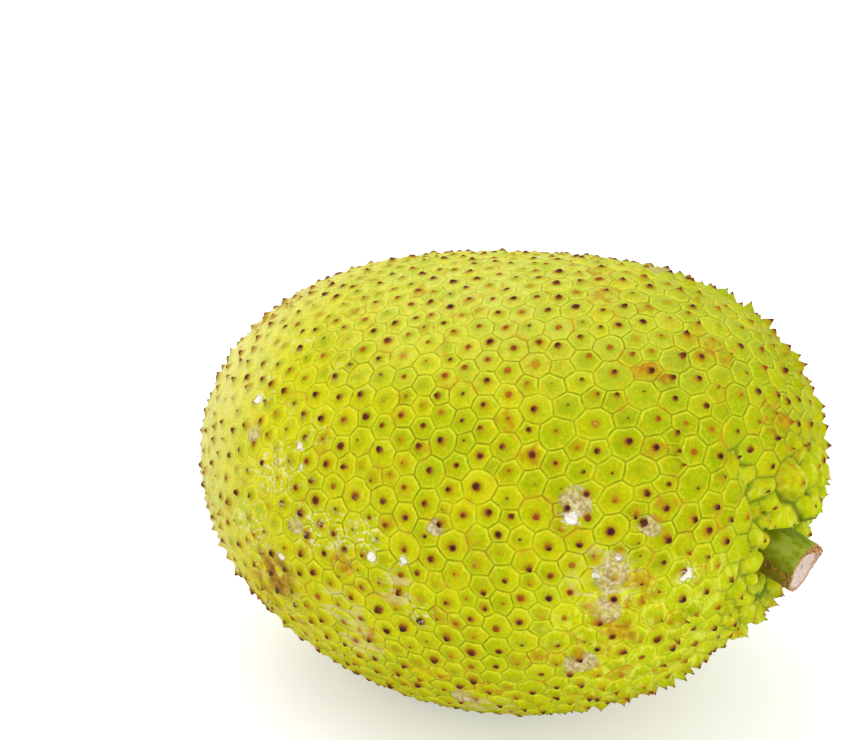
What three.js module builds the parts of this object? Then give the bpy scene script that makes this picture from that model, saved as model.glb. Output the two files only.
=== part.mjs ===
// A whole breadfruit with its cut stem, lying on its side.
//
// Millimetres, +Z up. The stem end looks along +X, and the fruit rests on a small flat spot
// whose middle is the origin. A breadfruit is one body grown from many fused flowers. Each
// flower shows in the skin as a many-sided cell: here a low cone that rises from the groove
// round the cell to the nub at its middle.

import * as THREE from 'three';
import { ConvexHull } from 'three/addons/math/ConvexHull.js';

// ---------------------------------------------------------------------------------------
// Driving dimensions
// ---------------------------------------------------------------------------------------

// The body, before its swellings: an egg lying along X, boxier than an ellipsoid.
const HALF_LENGTH = 92;
const HALF_WIDTH = 75;
const HEIGHT_RATIO = 0.92;
const FULLNESS = 0.855;
const EGG = 0.05;
const END_LIFT = 4.3;

// Broad swellings and hollows of the body: each one is centred on a direction.
const SWELLING_SPREAD = THREE.MathUtils.degToRad(38);
const SWELLINGS = [
  { name: 'upper stem shoulder', toward: [1, 0, 1], height: 5.8 },
  { name: 'lower stem shoulder', toward: [1, 0, -1], height: -5.6 },
  { name: 'left stem shoulder', toward: [1, 1, 0], height: 6.7 },
  { name: 'hollow left of the stem', toward: [1, 0.45, -0.42], height: -4.7 },
  { name: 'right stem shoulder', toward: [1, -1, 0], height: -2.0 },
  { name: 'upper far end', toward: [-1, 0, 1], height: -1.0 },
  { name: 'right far end', toward: [-1, -1, 0], height: 4.2 },
  { name: 'back', toward: [0, 0, 1], height: -3.1 },
  { name: 'belly', toward: [0, 0, -1], height: -2 },
];

// The pit that the stem grows out of, and the fold that runs up out of it.
const PIT_DEPTH = 17;
const PIT_RADIUS = 14;
const PIT_STEEPNESS = 2.6;
const PIT_DROP = 1.4;
const PIT_DROP_REACH = 35;
const FOLD_ANGLE = THREE.MathUtils.degToRad(125);
const FOLD_DEPTH = 5;
const FOLD_WIDTH = 4.5;
const FOLD_START = 12;
const FOLD_END = 40;

// The hood: above the stem the skin bulges out where the pit would be, and overhangs the stem.
// Its share is how much of the pit's depth it takes back, so past 1 it stands proud. Its lip
// droops onto the stem, most at one distance from the stem's middle and not at all past its end.
const HOOD_ANGLE = THREE.MathUtils.degToRad(86);
const HOOD_SPREAD = THREE.MathUtils.degToRad(52);
const HOOD_SHARE = 1.5;
const HOOD_DROOP = 3;
const HOOD_LIP = 17;
const HOOD_END = 32;

// The skin cells.
const CELL_COUNT = 2100;
const CELL_ASPECT = 0.9;
const CELL_GROWTH_TO_STEM = 0.12;
const COLLAR_CELL_GROWTH = 0.7;
const COLLAR_REACH = 34;
const COLLAR_STRETCH = 0.7;
const CELL_JITTER = 0.5;
const RELAX_ROUNDS = 4;
const GROOVE_DEPTH = 0.7;
const COLLAR_GROOVE_DEPTH = 1.1;
const NUB_HEIGHT = 1.2;
const NUB_VARIATION = 0.45;
const STEM_END_NUB_GROWTH = 2.6;
const PIT_NUB_HEIGHT = 0.8;
const NUB_OFFSET = 0.1;

// The flat spot that the fruit has been lying on.
const FLAT_DEPTH = 2.2;

// The stem and the socket that it grows out of, in the floor of the pit.
const SOCKET_SIDES = 12;
const SOCKET_RADIUS = 9.4;
const SOCKET_DEPTH = 6;
const CLEARANCE = 0.3;
const STEM_BASE_RADIUS = 8.1;
const STEM_CUT_RADIUS = 7.6;
const STEM_LENGTH = 18.8;
const STEM_END_DIRECTION = new THREE.Vector3(0.955, -0.13, -0.215).normalize();
const STEM_SIDES = 28;
const STEM_RINGS = 12;
const BARK_THICKNESS = 1.0;
const BARK_RIM = 0.4;
const PEEL_LENGTH = 2.5;
const PEEL_ANGLE = THREE.MathUtils.degToRad(62);
const PEEL_SPREAD = THREE.MathUtils.degToRad(34);

const SEED = 20;

// ---------------------------------------------------------------------------------------
// Helpers
// ---------------------------------------------------------------------------------------

/** A repeatable stream of numbers from 0 to 1. */
function makeRandom(seed) {
  let state = seed;
  return () => {
    state = (state + 0x6d2b79f5) | 0;
    let mixed = Math.imul(state ^ (state >>> 15), 1 | state);
    mixed = (mixed + Math.imul(mixed ^ (mixed >>> 7), 61 | mixed)) ^ mixed;
    return ((mixed ^ (mixed >>> 14)) >>> 0) / 4294967296;
  };
}

/** A bell curve, 1 at zero and near 0 past twice the width. */
function bell(distance, width) {
  return Math.exp(-((distance / width) ** 2));
}

/** The turn from one angle to another, the shorter way round. */
function turnBetween(from, to) {
  return Math.atan2(Math.sin(to - from), Math.cos(to - from));
}

/** A closed mesh from shared points and triangles of point numbers. */
function solidGeometry(points, triangles) {
  const geometry = new THREE.BufferGeometry();
  const positions = points.flatMap((point) => point.toArray());
  geometry.setAttribute('position', new THREE.Float32BufferAttribute(positions, 3));
  geometry.setIndex(triangles.flat());
  geometry.computeVertexNormals();
  return geometry;
}

// ---------------------------------------------------------------------------------------
// The body's smooth surface, over phi (0 at the stem, PI at the far end) and theta round X
// ---------------------------------------------------------------------------------------

/** The outline that turns round the X axis: its place along X, its radius and its pit. */
function meridian(phi) {
  const along = Math.cos(phi);
  const radius = HALF_WIDTH * Math.sin(phi) ** FULLNESS * (1 + EGG * along);
  const pit = along > 0 ? PIT_DEPTH * Math.exp(-((radius / PIT_RADIUS) ** PIT_STEEPNESS)) : 0;
  return { x: HALF_LENGTH * along - pit, radius, pit, atStem: along > 0 };
}

const swellings = SWELLINGS.map(({ toward, height }) => ({
  axis: new THREE.Vector3(...toward).normalize(),
  height,
}));

/** A point of the smooth body: the turned outline with its swellings, hood, fold and sag. */
function bodyPoint(phi, theta) {
  const { x, radius, pit, atStem } = meridian(phi);
  const outsidePit = atStem ? THREE.MathUtils.smoothstep(radius, PIT_RADIUS, 2 * PIT_RADIUS) : 1;
  const point = new THREE.Vector3(
    x,
    radius * Math.cos(theta),
    radius * Math.sin(theta) * THREE.MathUtils.lerp(1, HEIGHT_RATIO, outsidePit),
  );
  const outward = point.clone().normalize();
  let push = 0;
  for (const { axis, height } of swellings) {
    push += height * bell(outward.angleTo(axis), SWELLING_SPREAD);
  }
  if (atStem) {
    const inHood = bell(turnBetween(HOOD_ANGLE, theta), HOOD_SPREAD);
    const inLip = THREE.MathUtils.smoothstep(radius, SOCKET_RADIUS, HOOD_LIP)
      * (1 - THREE.MathUtils.smoothstep(radius, HOOD_LIP, HOOD_END));
    point.x += HOOD_SHARE * pit * inHood;
    point.z -= HOOD_DROOP * inLip * inHood;
    const inFold = THREE.MathUtils.smoothstep(radius, FOLD_START * 0.5, FOLD_START)
      * (1 - THREE.MathUtils.smoothstep(radius, FOLD_START, FOLD_END));
    push -= FOLD_DEPTH * inFold * bell(turnBetween(FOLD_ANGLE, theta) * radius, FOLD_WIDTH);
    point.z -= PIT_DROP * bell(radius, PIT_DROP_REACH);
  }
  point.addScaledVector(outward, push);
  point.z += END_LIFT * (x / HALF_LENGTH) ** 2;
  return point;
}

/** The outward normal of the smooth body, from two short steps on it. */
function bodyNormal(phi, theta) {
  const step = 1e-3;
  const safePhi = THREE.MathUtils.clamp(phi, 2 * step, Math.PI - 2 * step);
  const alongPhi = bodyPoint(safePhi + step, theta).sub(bodyPoint(safePhi - step, theta));
  const alongTheta = bodyPoint(safePhi, theta + step).sub(bodyPoint(safePhi, theta - step));
  return alongPhi.cross(alongTheta).normalize();
}

// ---------------------------------------------------------------------------------------
// Laying the cells out: an even map of the body onto a ball
// ---------------------------------------------------------------------------------------

/** How far into the collar of big folded cells round the stem: 1 at the pit, 0 outside. */
function collar(phi) {
  const { radius, atStem } = meridian(phi);
  return atStem ? 1 - THREE.MathUtils.smoothstep(radius, PIT_RADIUS, COLLAR_REACH) : 0;
}

/**
 * Tables along the meridian: how many cells lie between the stem and each phi, and the
 * matching height on the ball. A step along the body and one across it keep their ratio on the
 * ball, so neighbours on the ball are neighbours on the fruit. Steps along the meridian count
 * for a little more, which keeps the cells short, and for less in the collar, which draws the
 * cells out towards the stem.
 */
function layOutMeridian(steps) {
  const phis = [];
  const cells = [];
  const heights = [];
  let cellSum = 0;
  let height = 0;
  let last = meridian(0);
  for (let i = 1; i < steps; i += 1) {
    const phi = (Math.PI * i) / steps;
    const here = meridian(phi);
    const arc = Math.hypot(here.x - last.x, here.radius - last.radius);
    const radius = (here.radius + last.radius) / 2;
    const inCollar = collar(phi);
    const cellArea = 1 + CELL_GROWTH_TO_STEM * Math.cos(phi) + COLLAR_CELL_GROWTH * inCollar;
    cellSum += (radius * arc) / cellArea;
    height += arc / (CELL_ASPECT * radius * (1 + COLLAR_STRETCH * inCollar));
    phis.push(phi);
    cells.push(cellSum);
    heights.push(height);
    last = here;
  }
  const middle = heights[Math.floor(steps / 2)];
  return {
    phis,
    cells: cells.map((value) => value / cellSum),
    heights: heights.map((value) => value - middle),
  };
}

/** The value of one table at a value of another: both rise, and it is linear between rows. */
function lookUp(from, to, value) {
  let low = 0;
  let high = from.length - 1;
  while (high - low > 1) {
    const middle = (low + high) >> 1;
    if (from[middle] > value) {
      high = middle;
    } else {
      low = middle;
    }
  }
  const part = THREE.MathUtils.clamp((value - from[low]) / (from[high] - from[low]), 0, 1);
  return to[low] + part * (to[high] - to[low]);
}

const layout = layOutMeridian(6000);

/** The point of the ball for a place on the body, with the stem at +X. */
function toBall(phi, theta) {
  const turn = 2 * Math.atan(Math.exp(lookUp(layout.phis, layout.heights, phi)));
  const ring = Math.sin(turn);
  return new THREE.Vector3(Math.cos(turn), ring * Math.cos(theta), ring * Math.sin(theta));
}

/** The place on the body for a point of the ball. */
function fromBall(point) {
  const ring = Math.hypot(point.y, point.z);
  const height = Math.log(Math.tan(Math.atan2(ring, point.x) / 2));
  return {
    phi: lookUp(layout.heights, layout.phis, height),
    theta: Math.atan2(point.z, point.y),
  };
}

/** The phi at which the meridian first reaches a radius, coming from the stem. */
function phiAtRadius(radius) {
  return layout.phis.find((phi) => meridian(phi).radius >= radius);
}

/**
 * The cells' middles on the ball. The first is the stem's own socket, the next ones stand
 * evenly round it, and the rest follow the growth spiral, each moved a little at random.
 */
function seedCells(random) {
  const goldenAngle = Math.PI * (3 - Math.sqrt(5));
  const ringRadius = (SOCKET_RADIUS * 1.5) / Math.cos(Math.PI / SOCKET_SIDES);
  const ringPhi = phiAtRadius(ringRadius);
  const seeds = [new THREE.Vector3(1, 0, 0)];
  for (let i = 0; i < SOCKET_SIDES; i += 1) {
    seeds.push(toBall(ringPhi, (2 * Math.PI * i) / SOCKET_SIDES));
  }
  const spiralStart = lookUp(layout.phis, layout.cells, phiAtRadius(ringRadius * 1.35));
  const spiralCount = CELL_COUNT - seeds.length;
  const cellsRoundMiddle = Math.sqrt(Math.PI * CELL_COUNT);
  const shift = () => CELL_JITTER * (2 * random() - 1);
  for (let i = 0; i < spiralCount; i += 1) {
    const moved = (i + 0.5 + shift() * cellsRoundMiddle) / spiralCount;
    const share = 1 - Math.abs(1 - Math.abs(moved));
    const phi = lookUp(layout.cells, layout.phis, spiralStart + (1 - spiralStart) * share);
    seeds.push(toBall(phi, goldenAngle * i + (shift() * 2 * Math.PI) / cellsRoundMiddle));
  }
  return seeds;
}

/** The triangles between neighbouring seeds: the hull of points on a ball joins just those. */
function joinNeighbours(seeds) {
  const numbers = new Map(seeds.map((seed, number) => [seed, number]));
  const hull = new ConvexHull().setFromPoints(seeds);
  return hull.faces.map((face) => {
    const triangle = [];
    let edge = face.edge;
    do {
      triangle.push(numbers.get(edge.head().point));
      edge = edge.next;
    } while (edge !== face.edge);
    return triangle;
  });
}

/** The middle of a triangle of seeds, on the ball: three cells meet there. */
function meetingPoint(seeds, triangle) {
  const sum = new THREE.Vector3();
  for (const number of triangle) {
    sum.add(seeds[number]);
  }
  return sum.normalize();
}

/** Moves each seed to the middle of its cell, so that the cells grow even. */
function relax(seeds) {
  const triangles = joinNeighbours(seeds);
  const places = seeds.map((seed) => {
    const { phi, theta } = fromBall(seed);
    return bodyPoint(phi, theta);
  });
  const sums = seeds.map(() => new THREE.Vector3());
  const face = new THREE.Triangle();
  for (const triangle of triangles) {
    face.set(...triangle.map((number) => places[number]));
    const middle = meetingPoint(seeds, triangle).multiplyScalar(face.getArea());
    for (const number of triangle) {
      sums[number].add(middle);
    }
  }
  const fixed = 1 + SOCKET_SIDES;
  return seeds.map((seed, number) => (number < fixed ? seed : sums[number].normalize()));
}

/** The corners round each seed, in order: a corner is the number of a triangle. */
function cornersRoundSeeds(seedCount, triangles) {
  const followers = Array.from({ length: seedCount }, () => new Map());
  triangles.forEach((triangle, corner) => {
    triangle.forEach((number, i) => {
      const next = triangle[(i + 1) % 3];
      const previous = triangle[(i + 2) % 3];
      followers[number].set(next, { corner, toward: previous });
    });
  });
  return followers.map((links) => {
    const ring = [];
    const start = links.keys().next().value;
    let at = start;
    do {
      const { corner, toward } = links.get(at);
      ring.push(corner);
      at = toward;
    } while (at !== start);
    return ring;
  });
}

// ---------------------------------------------------------------------------------------
// The fruit
// ---------------------------------------------------------------------------------------

/**
 * How far a cell's nub stands out of the skin: blunt all over, with more and more long ones
 * towards the stem, and short again in its pit.
 */
function nubHeight(phi, random) {
  const towardStem = THREE.MathUtils.smoothstep(Math.cos(phi), -0.1, 1);
  const blunt = NUB_HEIGHT * (1 + NUB_VARIATION * (2 * random() - 1));
  const open = blunt + STEM_END_NUB_GROWTH * towardStem * random() ** 2;
  const inPit = 1 - THREE.MathUtils.smoothstep(meridian(phi).radius, PIT_RADIUS, 2 * PIT_RADIUS);
  return phi < Math.PI / 2 ? THREE.MathUtils.lerp(open, PIT_NUB_HEIGHT, inPit) : open;
}

function makeFruit(random) {
  let seeds = seedCells(random);
  for (let round = 0; round < RELAX_ROUNDS; round += 1) {
    seeds = relax(seeds);
  }
  const junctions = joinNeighbours(seeds);
  const rings = cornersRoundSeeds(seeds.length, junctions);

  // The groove corners come first, then the nubs. The corners that the socket's own cell
  // has stand on the socket's circle.
  const socketPhi = phiAtRadius(SOCKET_RADIUS);
  const points = junctions.map((triangle) => {
    const place = fromBall(meetingPoint(seeds, triangle));
    const phi = triangle.includes(0) ? socketPhi : place.phi;
    const { theta } = place;
    const depth = THREE.MathUtils.lerp(GROOVE_DEPTH, COLLAR_GROOVE_DEPTH, collar(phi));
    return bodyPoint(phi, theta).addScaledVector(bodyNormal(phi, theta), -depth);
  });
  const triangles = [];
  const socketBottom = addSocket(points, triangles, rings[0]);
  rings.forEach((ring, number) => {
    if (number === 0) {
      return;
    }
    const { phi, theta } = fromBall(seeds[number]);
    const corner = points[ring[0]];
    const nub = bodyPoint(phi, theta);
    const offset = corner.clone().sub(nub).multiplyScalar(NUB_OFFSET * 2 * (random() - 0.5));
    nub.add(offset).addScaledVector(bodyNormal(phi, theta), nubHeight(phi, random));
    points.push(nub);
    ring.forEach((from, i) => {
      triangles.push([points.length - 1, from, ring[(i + 1) % ring.length]]);
    });
  });
  return { points, triangles, socketBottom };
}

/** The socket of the stem: straight walls in from the pit's floor. Gives its bottom's middle. */
function addSocket(points, triangles, ring) {
  const first = points.length;
  const bottomX = Math.min(...ring.map((corner) => points[corner].x)) - SOCKET_DEPTH;
  for (const corner of ring) {
    points.push(points[corner].clone().setX(bottomX));
  }
  const bottom = new THREE.Vector3();
  ring.forEach((corner, i) => {
    const j = (i + 1) % ring.length;
    triangles.push([first + i, corner, ring[j]]);
    triangles.push([first + i, ring[j], first + j]);
    if (i > 0 && j > 0) {
      triangles.push([first, first + i, first + j]);
    }
    bottom.addScaledVector(points[first + i], 1 / ring.length);
  });
  return bottom;
}

/** Presses the lowest part of the fruit flat, and gives the plane's height and middle. */
function pressFlat(points, triangles) {
  const level = lowestOfBody() + FLAT_DEPTH;
  for (const point of points) {
    point.z = Math.max(point.z, level);
  }
  const middle = new THREE.Vector3();
  const face = new THREE.Triangle();
  const centre = new THREE.Vector3();
  let area = 0;
  for (const triangle of triangles) {
    face.set(...triangle.map((number) => points[number]));
    if (Math.max(face.a.z, face.b.z, face.c.z) === level) {
      middle.addScaledVector(face.getMidpoint(centre), face.getArea());
      area += face.getArea();
    }
  }
  return middle.divideScalar(area);
}

/** The height of the smooth body's lowest point. */
function lowestOfBody() {
  const steps = 200;
  let lowest = Infinity;
  for (let i = 1; i < steps; i += 1) {
    lowest = Math.min(lowest, bodyPoint((Math.PI * i) / steps, -Math.PI / 2).z);
  }
  return lowest;
}

// ---------------------------------------------------------------------------------------
// The stem
// ---------------------------------------------------------------------------------------

/** A short bent tapering stem from the bottom of its socket to its cut face. */
function makeStem(socketBottom) {
  const start = socketBottom.clone().add(new THREE.Vector3(CLEARANCE, 0, 0));
  const mouth = start.clone().add(new THREE.Vector3(SOCKET_DEPTH + 1, 0, 0));
  const end = mouth.clone().addScaledVector(STEM_END_DIRECTION, STEM_LENGTH);
  const bend = new THREE.CubicBezierCurve3(
    mouth,
    mouth.clone().add(new THREE.Vector3(STEM_LENGTH / 3, 0, 0)),
    end.clone().addScaledVector(STEM_END_DIRECTION, -STEM_LENGTH / 3),
    end,
  );
  const route = new THREE.CurvePath();
  route.add(new THREE.LineCurve3(start, mouth));
  route.add(bend);

  const points = [];
  const triangles = [];
  const addRing = (centre, direction, radius, reach) => {
    const across = new THREE.Vector3(0, 1, 0).projectOnPlane(direction).normalize();
    const upward = direction.clone().cross(across);
    for (let i = 0; i < STEM_SIDES; i += 1) {
      const angle = (2 * Math.PI * i) / STEM_SIDES;
      points.push(centre.clone()
        .addScaledVector(across, radius * Math.cos(angle))
        .addScaledVector(upward, radius * Math.sin(angle))
        .addScaledVector(direction, reach(angle)));
    }
  };
  const none = () => 0;
  const peel = (angle) => BARK_RIM + PEEL_LENGTH * bell(angle - PEEL_ANGLE, PEEL_SPREAD);

  for (let i = 0; i < STEM_RINGS; i += 1) {
    const along = i / STEM_RINGS;
    const radius = THREE.MathUtils.lerp(STEM_BASE_RADIUS, STEM_CUT_RADIUS, along);
    addRing(route.getPointAt(along), route.getTangentAt(along), radius, none);
  }
  addRing(end, STEM_END_DIRECTION, STEM_CUT_RADIUS, peel);
  addRing(end, STEM_END_DIRECTION, STEM_CUT_RADIUS - BARK_THICKNESS, peel);
  addRing(end, STEM_END_DIRECTION, STEM_CUT_RADIUS - BARK_THICKNESS, none);

  const ringCount = points.length / STEM_SIDES;
  for (let ring = 0; ring + 1 < ringCount; ring += 1) {
    for (let i = 0; i < STEM_SIDES; i += 1) {
      const j = (i + 1) % STEM_SIDES;
      const near = ring * STEM_SIDES;
      const far = near + STEM_SIDES;
      triangles.push([near + i, near + j, far + j]);
      triangles.push([near + i, far + j, far + i]);
    }
  }
  const last = (ringCount - 1) * STEM_SIDES;
  points.push(start, end);
  for (let i = 0; i < STEM_SIDES; i += 1) {
    const j = (i + 1) % STEM_SIDES;
    triangles.push([points.length - 2, j, i]);
    triangles.push([points.length - 1, last + i, last + j]);
  }
  return { points, triangles };
}

// ---------------------------------------------------------------------------------------
// The whole breadfruit
// ---------------------------------------------------------------------------------------

const fruit = makeFruit(makeRandom(SEED));
const origin = pressFlat(fruit.points, fruit.triangles);
const stem = makeStem(fruit.socketBottom);

const breadfruit = new THREE.Group();
breadfruit.name = 'breadfruit';
const pieces = [
  { name: 'fruit', solid: fruit, color: 0xc8d214, roughness: 0.55 },
  { name: 'stem', solid: stem, color: 0x86a32a, roughness: 0.65 },
];
for (const { name, solid, color, roughness } of pieces) {
  const material = new THREE.MeshStandardMaterial({ color, roughness, metalness: 0 });
  const mesh = new THREE.Mesh(solidGeometry(solid.points, solid.triangles), material);
  mesh.name = name;
  mesh.position.copy(origin).negate();
  breadfruit.add(mesh);
}

export default breadfruit;
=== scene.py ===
# %% [markdown]
# # A whole breadfruit
# A breadfruit is one body grown from well over a thousand fused flowers. Each flower leaves a
# many-sided cell in the skin, with a groove round it and a dry brown nub at its middle. The
# frame already holds the right body, the right cells and the right stem, but each cell there
# is a plain low cone. This lesson turns every cone into a grown cell, gives the stem its bark
# and its cut wood, and then paints the skin the way a ripe one looks: by its cells.

# %% Load the frame
import functools
import math

import bpy
import numpy as np
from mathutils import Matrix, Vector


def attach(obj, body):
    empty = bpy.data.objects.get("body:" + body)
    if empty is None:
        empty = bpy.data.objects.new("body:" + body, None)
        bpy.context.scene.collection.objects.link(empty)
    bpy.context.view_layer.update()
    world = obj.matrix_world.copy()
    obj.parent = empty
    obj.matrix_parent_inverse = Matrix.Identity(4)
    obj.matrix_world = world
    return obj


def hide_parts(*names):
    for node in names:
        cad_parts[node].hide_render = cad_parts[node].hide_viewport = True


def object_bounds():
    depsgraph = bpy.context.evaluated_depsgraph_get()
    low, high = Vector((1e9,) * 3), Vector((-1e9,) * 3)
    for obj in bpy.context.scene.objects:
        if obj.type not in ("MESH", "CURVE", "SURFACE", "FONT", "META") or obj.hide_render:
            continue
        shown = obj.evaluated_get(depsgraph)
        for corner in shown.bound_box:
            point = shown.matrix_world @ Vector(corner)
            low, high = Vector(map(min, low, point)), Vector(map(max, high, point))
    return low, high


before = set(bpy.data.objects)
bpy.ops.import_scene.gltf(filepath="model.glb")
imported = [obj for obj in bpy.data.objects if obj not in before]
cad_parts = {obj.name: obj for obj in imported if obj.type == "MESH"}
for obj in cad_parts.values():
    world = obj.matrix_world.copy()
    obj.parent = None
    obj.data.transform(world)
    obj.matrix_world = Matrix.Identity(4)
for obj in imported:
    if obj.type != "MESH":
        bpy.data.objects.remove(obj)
cad_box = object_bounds()
MM = 0.001
rng = np.random.default_rng(31)
print("frame box, mm:", [[round(v / MM, 1) for v in corner] for corner in cad_box])

# %% [markdown]
# ## Reading the cells back
# The frame's mesh is loose triangles, so equal corners are first made one shared point. Then
# every triangle has to be told which of its corners is the middle of a cell. We could ask which
# corner stands highest, but where the fruit is pressed flat they all lie level. A surer way is
# to start at one known middle and walk: over an edge that touches the middle it stays the same
# cell, and over an edge that doesn't, the new middle is the far corner.

# %% Shared points, and who lies across each edge
SAME_POINT = 1e-6


def shared_mesh(obj):
    """Points and triangles of a frame mesh, with equal corners made one point."""
    mesh = obj.data
    mesh.calc_loop_triangles()
    points = np.empty(len(mesh.vertices) * 3)
    corners = np.empty(len(mesh.loop_triangles) * 3, np.int64)
    mesh.vertices.foreach_get("co", points)
    mesh.loop_triangles.foreach_get("vertices", corners)
    points = points.reshape(-1, 3)
    grid = np.round(points / SAME_POINT).astype(np.int64)
    _, first, number = np.unique(grid, axis=0, return_index=True, return_inverse=True)
    return points[first], number.reshape(-1)[corners].reshape(-1, 3)


def edge_numbers(start, end, wanted_start, wanted_end, count):
    """For each wanted edge, the number of the edge with the same two ends, or -1 for none."""
    key = start * count + end
    wanted = wanted_start * count + wanted_end
    order = np.argsort(key)
    place = np.minimum(np.searchsorted(key[order], wanted), len(key) - 1)
    return np.where(key[order][place] == wanted, order[place], -1)


body_points, body_triangles = shared_mesh(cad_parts["fruit"])
body_low, body_high = body_points.min(0), body_points.max(0)
print("frame fruit:", len(body_points), "points,", len(body_triangles), "triangles")

# %% Leave out the stem's socket
SOCKET_GAP = 0.3 * MM
SOCKET_REACH = 12 * MM
SAME_PLANE = 0.05 * MM

stem_points, _ = shared_mesh(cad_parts["stem"])
stem_low = stem_points.min(0)
stem_foot = stem_points[stem_points[:, 0] < stem_low[0] + 0.01 * MM].mean(0)
socket_x = stem_low[0] - SOCKET_GAP
in_socket = np.abs(body_points[:, 0] - socket_x) < SAME_PLANE
in_socket &= np.linalg.norm(body_points[:, 1:] - stem_foot[1:], axis=1) < SOCKET_REACH
skin = body_triangles[~in_socket[body_triangles].any(1)]
print("socket points:", int(in_socket.sum()), " skin triangles:", len(skin))

# %% Walk from cell to cell
def find_middles(triangles, points):
    """The middle point of the cell that each triangle belongs to, by walking over the edges."""
    ends = np.roll(triangles, -1, 1)
    far = np.roll(triangles, -2, 1)
    twin = edge_numbers(
        triangles.ravel(), ends.ravel(), ends.ravel(), triangles.ravel(), len(points)
    ).reshape(-1, 3)
    top = points[:, 2].argmax()
    middle = np.where((triangles == top).any(1), top, -1)
    while (middle < 0).any():
        across = np.where(twin >= 0, middle[twin // 3], -1)
        same_cell = (across == triangles) | (across == ends)
        guess = np.where(across < 0, -1, np.where(same_cell, across, far)).max(1)
        middle = np.where(middle < 0, guess, middle)
    return middle


middle = find_middles(skin, body_points)
turn = (skin == middle[:, None]).argmax(1)
skin = skin[np.arange(len(skin))[:, None], (turn[:, None] + np.arange(3)) % 3]
cell_points, cell = np.unique(skin[:, 0], return_inverse=True)
corner_points, corner = np.unique(skin[:, 1:], return_inverse=True)
corner = corner.reshape(-1, 2)
cell_count, sector_count = len(cell_points), len(skin)
print("cells:", cell_count, " corners:", len(corner_points), " sectors:", sector_count)

# %% [markdown]
# ## What each cell knows about itself
# A cell needs to know its middle, which way it faces, how far its nub stands out of it and how
# near it is to the stem. These are worked out for all cells at once: a value of the sectors is
# added up over each cell, and everything else follows from sums like that.

# %% Small tools for vectors
def cell_sum(values):
    """Adds up a value of the sectors over each cell."""
    return np.stack(
        [np.bincount(cell, values[:, i], cell_count) for i in range(values.shape[1])], 1
    )


def unit(vectors):
    """Vectors of length one, along the last axis."""
    return vectors / np.linalg.norm(vectors, axis=-1, keepdims=True)


def dot(a, b):
    """The dot product along the last axis, kept as a column."""
    return (a * b).sum(-1, keepdims=True)


def ramp(value, low, high):
    """0 below low, 1 above high, and a smooth S between."""
    t = np.clip((value - low) / (high - low), 0, 1)
    return t * t * (3 - 2 * t)


# %% Middle, facing, nub and size of every cell
corner_a = body_points[corner_points[corner[:, 0]]]
corner_b = body_points[corner_points[corner[:, 1]]]
sides = np.bincount(cell, minlength=cell_count)[:, None]
tip = body_points[cell_points]
centre = cell_sum(corner_a) / sides
out = unit(cell_sum(np.cross(corner_a - centre[cell], corner_b - centre[cell])))
height = dot(tip - centre, out)
foot = tip - out * height
size = cell_sum(np.linalg.norm(corner_a - centre[cell], axis=1)[:, None]) / sides
print("cell radius, mm: mean %.2f, least %.2f, most %.2f"
      % tuple(v / MM for v in (size.mean(), size.min(), size.max())))

# %% Where every cell lies on the fruit
COLLAR_REACH = 34 * MM
PIT_DEPTH = 6 * MM

pit_mouth = np.array([body_high[0] - PIT_DEPTH, stem_foot[1], stem_foot[2]])
from_pit = np.linalg.norm(centre - pit_mouth, axis=1)[:, None]
in_collar = 1 - ramp(from_pit, 0.55 * COLLAR_REACH, COLLAR_REACH)
to_stem = (centre[:, :1] - body_low[0]) / (body_high[0] - body_low[0])
print("cells in the collar round the stem:", int((in_collar > 0.5).sum()))

# %% [markdown]
# ## Four kinds of nub
# Every flower ends in a dry stigma. On most cells it is still there as a dark, blunt dot. On
# others it is rusty and low, or it has worn off and leaves a pale scar. Towards the stem, where
# nothing has rubbed the fruit, cells run up into green points with a brown tip. Underneath,
# where it lay, and on top, where it was handled, the nubs are worn low. One uniform pick for
# each cell decides its kind, and the kind gives height and colour.

# %% Pick the kind of every nub
DARK_SHARE = 0.54
RUSTY_SHARE = 0.34

pick = rng.random((cell_count, 1))
dark = pick < DARK_SHARE
bare = pick > DARK_SHARE + RUSTY_SHARE


def by_kind(dark_value, rusty_value, bare_value):
    """One value for each cell, by the kind of its nub."""
    return np.where(dark, dark_value, np.where(bare, bare_value, rusty_value))


# %% How tall the nubs are, and how wide their dots
CONE_FOOT = 0.4 * MM
LEAST_NUB = 0.1 * MM
POINTED_FROM = 1.7 * MM
POINTED_TO = 2.6 * MM
BLUNT_SHARES = (0.78, 0.5, 0.3)
POINTED_SHARES = (0.84, 0.84, 0.6)
RUBBED_SHARE = 0.5
DOT_RADII = (0.68, 0.52, 0.38)

nub = (height - CONE_FOOT).clip(LEAST_NUB, None)
pointed = ramp(nub, POINTED_FROM, POINTED_TO)
rubbed_below = ramp(centre[:, 2:], 32 * MM, 14 * MM) * ramp(centre[:, :1], 75 * MM, 45 * MM)
rubbed_above = ramp(centre[:, 2:], 100 * MM, 124 * MM) * ramp(centre[:, :1], 60 * MM, 30 * MM)
nub = nub * (by_kind(*BLUNT_SHARES) * (1 - pointed) + by_kind(*POINTED_SHARES) * pointed)
nub = nub * (1 - RUBBED_SHARE * (rubbed_below + 0.7 * rubbed_above))
dot_radius = by_kind(*DOT_RADII) * MM
dot_radius = dot_radius * (0.78 + 0.22 * ramp(to_stem, 0.05, 0.5))
dot_radius = dot_radius * (1 + 0.22 * rng.standard_normal((cell_count, 1)).clip(-1.5, 2))
dot_radius = dot_radius * (1 - 0.15 * pointed) * (1 - 0.3 * in_collar)
dot_radius = dot_radius * (size / size.mean()) ** 0.5
print("dark %d, rusty %d, bare %d, pointed %d" % (
    dark.sum(), (~dark & ~bare).sum(), bare.sum(), (pointed > 0.5).sum()))

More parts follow.
